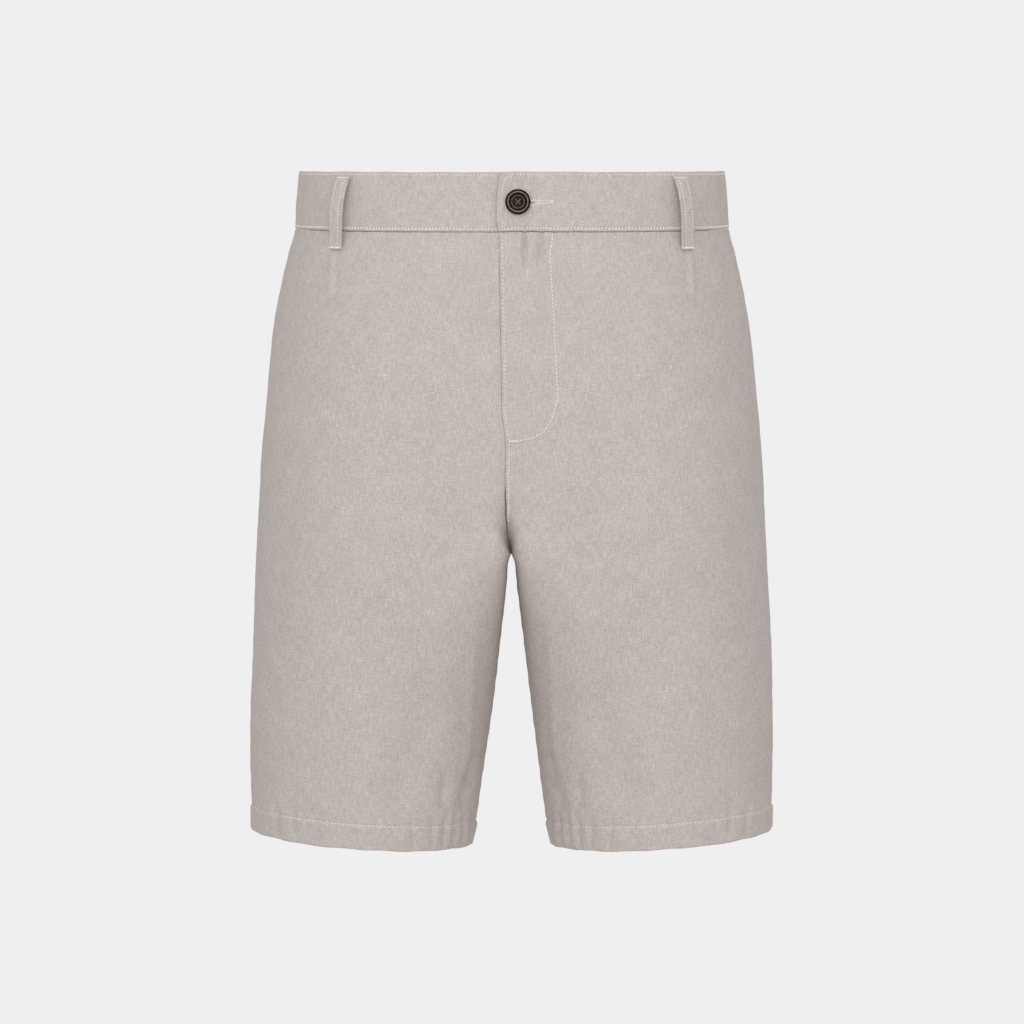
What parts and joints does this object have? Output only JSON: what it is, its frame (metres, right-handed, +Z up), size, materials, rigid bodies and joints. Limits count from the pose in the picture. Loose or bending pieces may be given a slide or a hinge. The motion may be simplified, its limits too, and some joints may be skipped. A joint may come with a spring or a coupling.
{
  "type": "bermuda shorts",
  "caption": "Knee-length bermuda shorts in plain beige-grey linen and cotton cloth, filled out as when worn, with buttoned fly, side pockets and belt loops.",
  "frame": {"origin": "centre of the waist opening, level with the top edge of the waistband at the sides, where the wearer's waist holds the shorts", "axes": "+Z up along the wearer's body, +Y to the back, +X to the wearer's left, so the fly and the button face -Y"},
  "size_m": [0.3854, 0.259, 0.5027],
  "materials": {
    "cloth": "plain-woven linen and cotton with slubs, matt",
    "thread": "spun polyester sewing thread",
    "button": "dark brown, with a lighter worn rim"
  },
  "bodies": {
    "root": {"front_right": "cloth", "front_left": "cloth", "back_right": "cloth", "back_left": "cloth", "waistband_right": "cloth", "waistband_left": "cloth", "belt_loop_front_right": "cloth", "belt_loop_front_left": "cloth", "belt_loop_back_right": "cloth", "belt_loop_back_left": "cloth", "belt_loop_back_centre": "cloth", "fly_shield": "cloth", "pocket_facing_right": "cloth", "pocket_facing_left": "cloth", "button": "button", "button_thread": "thread"}
  },
  "joints": []
}
